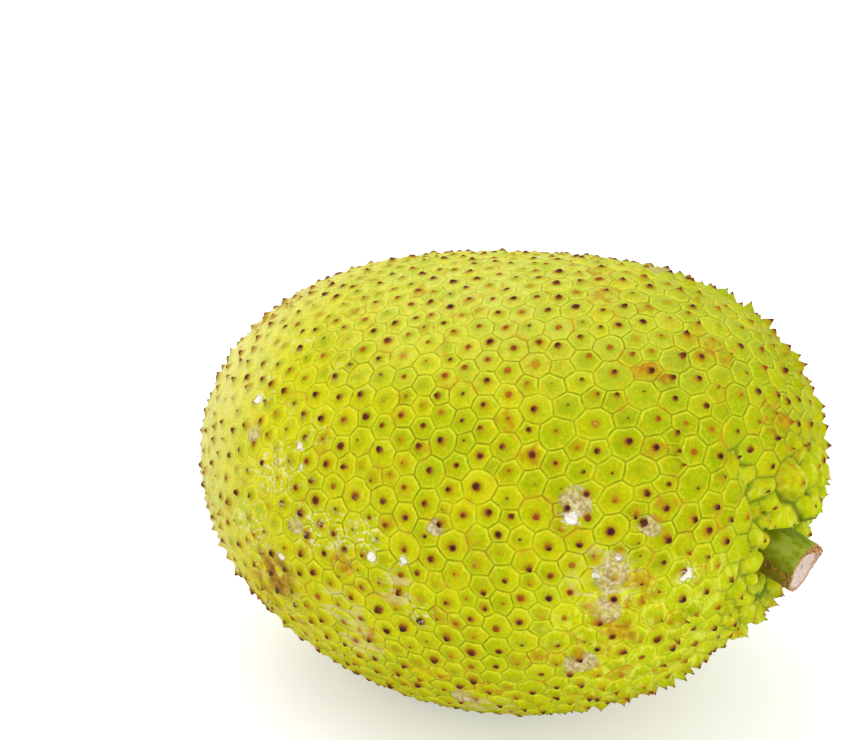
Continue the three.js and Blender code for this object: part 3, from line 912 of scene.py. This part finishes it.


# %% [markdown]
# ## The skin's finish
# The finish goes on like paint, from the ground up. First comes the ground tint, yellower at
# the far end and greener at the stem, with painted shade above the stem, painted light below it
# and a painted highlight on top. Then each cell gets its own tone, a greener zone round its nub,
# a pale rim that is partly a painted highlight on its upper side, and the olive line of the
# groove. The collar's lobes get painted light on top and painted shade below and between them,
# and the far end gets painted rim light, a pale creamy glow. Stains, bruises, scars and scabs
# lie on that, the nubs are dotted in over them, and last come a pale bloom and the drops of latex.
# A nub's dot is round because it reads the distance from the nub's middle on its own cell, so
# it doesn't depend on how fine the mesh is.

# %% Ground tint with painted light and shade, and tones of the cells
skin_material, tree, shader = new_material("breadfruit_skin", 0.52, 0.05)
place = add(tree, "TexCoord").outputs["Object"]
part_x, part_y, part_z = add(tree, "SeparateXYZ", {0: place}).outputs
groove_mm = attribute(tree, "from_groove", "Fac")
collar = attribute(tree, "in_collar", "Fac")
tone, stain_pick, dot_half = split(attribute(tree, "cell_tone", "Color"))
own_place = attribute(tree, "cell_place", "Vector")
on_cell_x, on_cell_y, above_nub = add(tree, "SeparateXYZ", {0: own_place}).outputs
from_nub = from_line(on_cell_x, on_cell_y)

far_end = band(plus(part_x, times(part_y, 0.35)), 0.015, -0.085)
low_down = band(part_z, 0.075, 0.02)
near_stem = band(part_x, 0.03, 0.075)
below_stem = times(near_stem, band(part_z, 0.09, 0.065))
up_high = times(band(part_z, 0.106, 0.134), band(part_x, 0.06, -0.01, 0.3, 1.0))
patches = noise(place, 8, 4, 31.0)
ground = paint(srgb(180, 187, 0), [
    ((199, 199, 0), blotches(place, (34,), 0.35, 0.65)),
    ((236, 224, 28), far_end, 0.9),
    ((204, 162, 36), low_down, far_end, blotches(place, (22, 3, 3.0), 0.36, 0.6), 0.8),
    # painted shade: darker green near the stem, above it
    ((160, 173, 0), near_stem, band(part_z, 0.085, 0.106), 0.95),
    # painted light: brighter green near the stem, below it
    ((196, 206, 6), below_stem, 0.8),
    # painted highlight: a pale, washed-out sheen over the top of the fruit
    ((232, 231, 124), up_high, 0.8),
    ((212, 182, 8), band(patches, 0.55, 0.72, 0.0, 0.4)),
    ((154, 180, 0), band(patches, 0.45, 0.3, 0.0, 0.4)),
])
pores = noise(place, 0.7, 3, 29.0)
face = paint(ground, [
    ((166, 187, 0), band(tone, 0.5, 1.0, 0.0, 0.34)),
    ((222, 215, 16), band(tone, 0.5, 0.0, 0.0, 0.3)),
    ((154, 180, 0), blotches(place, (1.9, 4, 17.0), 0.46, 0.62), 0.36),
    ((216, 180, 4), blotches(place, (2.6, 4, 19.0), 0.52, 0.68), 0.42),
    ((222, 224, 22), band(pores, 0.5, 0.66, 0.0, 0.34)),
    ((148, 164, 0), band(pores, 0.48, 0.34, 0.0, 0.3)),
])

# %% Greener round the nub, a pale rim with a painted highlight on its upper side, a soft line in the groove
near_nub = times(band(from_nub, 2.9, 0.8), blotches(place, (5,), 0.3, 0.6))
rim_noise = noise(place, 2.2, 2, 5.0)
# The pale rim inside the groove is partly the skin's paler rim and partly a painted highlight: it
# is stronger on the upper side of each cell, where light from above catches the shoulder.
pale_rim_and_highlight = times(band(groove_mm, 0.15, 0.42), band(groove_mm, 1.25, 0.5),
            band(rim_noise, 0.3, 0.6, 0.4, 1.0), band(above_nub, -1.5, 2.0, 0.5, 1.0))
warm_corner = times(blotches(place, (7, 3, 9.0), 0.56, 0.68),
                    band(groove_mm, 1.5, 0.3))
broken = times(blotches(place, (9, 3, 7.0), 0.35, 0.6, 0.3, 1.0),
               band(far_end, 0.3, 0.95, 1.0, 0.12), band(below_stem, 0.2, 0.9, 1.0, 0.45),
               band(up_high, 0.1, 0.9, 1.0, 0.4), band(rim_noise, 0.36, 0.58, 0.5, 1.0))
face = paint(face, [
    ((152, 176, 0), near_nub, 0.62),
    # pale rim, partly a painted highlight on the upper shoulder
    ((234, 236, 58), pale_rim_and_highlight, 0.56),
    ((198, 140, 24), warm_corner, 0.5),
    ((140, 150, 0), band(groove_mm, 0.6, 0.1), broken, 0.34),
    ((106, 120, 6), band(groove_mm, 0.3, 0.05), broken, 0.66),
])

# %% The collar's lobes with painted light and shade, and painted rim light at the far end
pale_streaks = times(blotches(place, (1.6, 4, 23.0, (1, 1, 2.5)), 0.5, 0.64),
                     band(maths("MAXIMUM", below_stem, collar), 0.2, 0.9))
# Painted rim light: a pale creamy glow along the far end, broken into blotches.
far_end_rim_light = times(band(part_x, -0.032, -0.072, 0.0, 0.5),
             blotches(place, (6, 4, 33.0), 0.34, 0.6, 0.6, 1.0))
face = paint(face, [
    # painted light: brighter yellow-green over the lobes, fading out on their lower parts
    ((198, 212, 8), collar, band(above_nub, -6.0, -1.5), 0.45),
    ((226, 230, 84), pale_streaks, 0.6),
    # painted shade: darker green on the lower part of each lobe
    ((122, 152, 0), collar, band(above_nub, -0.5, -4.5), 0.5),
    # painted shade: deep green in the grooves between the lobes
    ((66, 108, 2), collar, band(groove_mm, 1.5, 0.1), 0.8),
    ((168, 100, 18), collar, band(groove_mm, 0.9, 0.1),
     blotches(place, (5, 3, 25.0), 0.54, 0.64), 0.6),
    # painted rim light at the far end
    ((254, 248, 176), far_end_rim_light),
])
print("skin nodes so far:", len(tree.nodes))

# %% Stains, bruises, scars and scabs
stain_share, scab_share, latex_share = split(attribute(tree, "skin_marks", "Color"))
scar_share = attribute(tree, "skin_marks", "Alpha")
stain = ragged(place, stain_share, 1.3, 260.0, (206, 150, 30), (164, 92, 18))
bruise = times(band(scar_share, 0.2, 0.6), band(far_end, 0.5, 0.75),
               band(part_z, 0.09, 0.07), blotches(place, (5, 4, 13.0), 0.36, 0.5))
bruise_colour = blend(band(rim_noise, 0.36, 0.6), srgb(120, 62, 18), srgb(178, 118, 26))
unbruised = band(bruise, 0.5, 0.0, 0.15, 1.0)
scab, scab_mask = ragged(place, scab_share, 0.9, 380.0, (224, 210, 172), (180, 152, 110))
face = paint(face, [
    (*stain, blotches(place, (4, 3, 8.0), 0.4, 0.62), 0.66),
    (bruise_colour, bruise, 0.86),
    ((220, 202, 144), band(scar_share, 0.15, 0.5),
     blotches(place, (2.4, 4, 2.0, (5, 1, 0.6)), 0.49, 0.58), unbruised, 0.55),
    (scab, scab_mask, blotches(place, (3, 4, 12.0), 0.3, 0.62, 0.35, 0.92)),
])

# %% Dots of the nubs, then latex and a little bloom over them
edge_wobble = times(maths("SUBTRACT", noise(place, 0.9, 3), 0.5), 0.7)
from_dot = maths("SUBTRACT", plus(from_nub, edge_wobble), times(dot_half, 2.0))
latex, latex_mask = ragged(place, latex_share, 0.5, 600.0, (252, 250, 244), (232, 228, 204))
face = paint(face, [
    ((186, 132, 10), band(from_dot, 1.6, 0.0), band(stain_pick, 0.25, 0.75, 0.1, 0.7)),
    ((184, 116, 22), band(stain_pick, 0.9, 0.96),
     blotches(place, (2.6, 4, 11.0), 0.42, 0.7), band(collar, 0.3, 0.9, 0.7, 0.35)),
    ((150, 88, 20), band(from_dot, 0.6, -0.1), band(dot_half, 0.2, 0.3)),
    (attribute(tree, "nub_tint", "Color"), band(from_dot, 0.25, -0.35)),
    ((66, 32, 24), band(from_dot, 0.8, 0.1), bruise, 0.85),
    ((238, 234, 160), blotches(place, (1.6, 4, 4.0), 0.54, 0.66),
     blotches(place, (18, 2, 6.0), 0.46, 0.62), band(far_end, 0.1, 0.9, 0.03, 0.6),
     unbruised),
    (latex, latex_mask),
    ((242, 240, 214), band(latex_share, 0.04, 0.24),
     blotches(place, (1.2, 4, 21.0), 0.54, 0.63), unbruised, 0.56),
])

# %% Gloss and fine relief of the skin
rough = band(noise(place, 3, 3), 0.3, 0.7, 0.46, 0.6)
fill(shader.inputs["Roughness"], plus(rough, times(scab_mask, 0.2)))
relief = plus(
    times(noise(place, 1.3, 3), 0.5), times(noise(place, 0.35, 2), 0.14), times(latex_mask, 0.6),
    times(scab_mask, noise(place, 0.8, 3), 0.8))
give_finish(fruit_skin, skin_material, shader, face, relief, 0.5)

# %% [markdown]
# ## Bark and cut wood
# The bark is green and faintly streaked along its length, with a painted grey highlight on top
# and a painted bright edge on its upper side, olive brown underneath with small tan scars, and
# painted shadow at its foot where it goes into its socket. Its rim dried to a reddish brown. The
# cut face is pale wood: its fibres stand on end there, so it shows as fine specks in soft rings.

# %% Places on the stem
def place_on_stem(tree):
    """The place that the stem's pieces carry, in metres, and its three parts in millimetres."""
    on_stem = attribute(tree, "stem_place", "Vector")
    in_metres = add(tree, "VectorMath", {0: on_stem, 3: MM}, operation="SCALE").outputs[0]
    return in_metres, add(tree, "SeparateXYZ", {0: on_stem}).outputs


# %% The bark's finish
bark_material, tree, shader = new_material("stem_bark", 0.5, 0.12)
in_metres, (along, across, above) = place_on_stem(tree)
streak = noise(in_metres, 1.5, 4, 1.0, (3.5, 1, 1))
patchy = noise(in_metres, 3.2, 4, 2.0, (1.4, 1, 1))
under = band(plus(above, times(across, 0.5)), 1.0, -5.0)
bark_scar = ragged(in_metres, times(under, 0.44), 0.9, 620.0, (178, 138, 66), (112, 74, 30))
dried_share = attribute(tree, "dried", "Fac")
dried_rim = ragged(in_metres, dried_share, 0.6, 900.0, (214, 166, 106), (138, 84, 42))
bark = paint(srgb(124, 146, 0), [
    ((152, 171, 6), band(streak, 0.35, 0.65)),
    # painted highlight: greyer on top of the stem
    ((178, 190, 84), band(above, -2.5, 4.0), band(patchy, 0.36, 0.66), 0.5),
    ((114, 120, 6), band(patchy, 0.54, 0.34), 0.5),
    # painted highlight: a brighter yellow-green edge on the upper side, towards one flank
    ((152, 186, 6), band(above, 2.0, 6.0), band(across, 0.0, 5.0), 0.7),
    ((112, 98, 10), under, 0.85),
    (*bark_scar, 0.8),
    # painted shadow: near black at the stem's foot in its socket, deeper underneath
    ((44, 44, 14), band(plus(along, times(above, 0.4)), 14.0, 7.0), 0.85),
    dried_rim,
    ((226, 204, 184), band(dried_share, 1.1, 1.9, 0.0, 0.75)),
])
bark_relief = plus(streak, times(noise(in_metres, 0.5, 3), 0.4))
give_finish(stem_bark, bark_material, shader, bark, bark_relief, 0.3)

# %% The cut wood's finish
wood_material, tree, shader = new_material("stem_wood", 0.7, 0.15)
in_metres, (_, across, above) = place_on_stem(tree)
from_pith = from_line(across, above)
specks = noise(in_metres, 0.45, 3)
wood = paint(srgb(232, 216, 204), [
    ((204, 176, 158), band(specks, 0.4, 0.65)),
    ((186, 150, 128), band(maths("SINE", times(from_pith, 4.2)), 0.2, 1.0, 0.0, 0.2)),
    ((160, 114, 80), band(from_pith, 6.1, 6.9, 0.0, 0.6)),
    ((176, 132, 104), band(from_pith, 1.3, 0.7, 0.0, 0.5)),
])
give_finish(stem_cut, wood_material, shader, wood, specks, 0.25)
print("finishes:", [m.name for m in bpy.data.materials])

# %% [markdown]
# ## Camera, floor and light
# The camera looks down on the near side from the stem's end. The floor is plain and nearly
# white: a camera that looks at it sees some white added, which keeps it clean and leaves only a
# soft shadow, while the fruit itself is lit by no more than the lamp, the sky and what the floor
# gives back.

# %% Camera
CAMERA_TURN = math.radians(32)
CAMERA_TILT = math.radians(22)
CAMERA_DISTANCE = 465 * MM
LENS = 65
SENSOR = 36
AIM = np.array([4.17, 0.5, 63.41]) * MM
AIM_ASIDE = -22.4 * MM
AIM_ABOVE = 31.8 * MM

scene = bpy.context.scene
scene.view_settings.view_transform = "Standard"
back = np.array([
    math.sin(CAMERA_TURN) * math.cos(CAMERA_TILT),
    -math.cos(CAMERA_TURN) * math.cos(CAMERA_TILT),
    math.sin(CAMERA_TILT),
])
right = np.array([math.cos(CAMERA_TURN), math.sin(CAMERA_TURN), 0])
camera = bpy.data.objects.new("camera", bpy.data.cameras.new("camera"))
camera.data.lens = LENS
camera.data.sensor_width = SENSOR
camera.location = (AIM + back * CAMERA_DISTANCE + right * AIM_ASIDE
                   + np.cross(back, right) * AIM_ABOVE)
camera.rotation_euler = (math.pi / 2 - CAMERA_TILT, 0, CAMERA_TURN)
scene.collection.objects.link(camera)
scene.camera = camera
print("camera at, mm:", [round(v / MM) for v in camera.location])

# %% Floor
FLOOR_HALF = 3.0
FLOOR_COLOUR = (0.85, 0.85, 0.88, 1)
SEEN_WHITE = 0.36

floor_mesh = bpy.data.meshes.new("floor")
floor_corners = FLOOR_HALF * np.array([(-1, -1, 0), (1, -1, 0), (1, 1, 0), (-1, 1, 0)])
floor_mesh.from_pydata(floor_corners.tolist(), [], [(0, 1, 2, 3)])
floor = bpy.data.objects.new("floor", floor_mesh)
scene.collection.objects.link(floor)
floor_material, tree, shader = new_material("white_floor", 0.8, 0.0)
fill(shader.inputs["Base Color"], FLOOR_COLOUR)
fill(shader.inputs["Emission Color"], (1, 1, 1, 1))
is_camera = add(tree, "LightPath").outputs["Is Camera Ray"]
fill(shader.inputs["Emission Strength"], times(is_camera, SEEN_WHITE))
floor_mesh.materials.append(floor_material)

# %% Sky and lamp
SKY = 0.86
SEEN_SKY = 1.0
LAMP_POWER = 3.2
LAMP_SIZE = (1.1, 0.8)
LAMP_PLACE = (-0.3, 0.05, 1.0)
LAMP_TURN = (math.radians(-3), math.radians(-17), 0)
FILL_POWER = 3.8
FILL_PLACE = (0.85, -0.6, 0.3)
FILL_TURN = (math.radians(78), 0, math.radians(55))

world = bpy.data.worlds.new("studio")
scene.world = world
world.use_nodes = True
tree = world.node_tree
sky = tree.nodes["Background"]
fill(sky.inputs["Color"], (1, 1, 1, 1))
is_camera = add(tree, "LightPath").outputs["Is Camera Ray"]
strength = add(tree, "Mix", {0: is_camera, 2: SKY, 3: SEEN_SKY}, data_type="FLOAT")
fill(sky.inputs["Strength"], strength.outputs[0])


def soft_lamp(name, power, place, turn):
    """A large soft panel of light; it shines along its own downward axis."""
    lamp = bpy.data.objects.new(name, bpy.data.lights.new(name, "AREA"))
    lamp.data.shape = "RECTANGLE"
    lamp.data.size, lamp.data.size_y = LAMP_SIZE
    lamp.data.energy = power
    lamp.location = place
    lamp.rotation_euler = turn
    scene.collection.objects.link(lamp)
    print(name + ":", power, "watts")


soft_lamp("lamp_above", LAMP_POWER, LAMP_PLACE, LAMP_TURN)
soft_lamp("lamp_aside", FILL_POWER, FILL_PLACE, FILL_TURN)
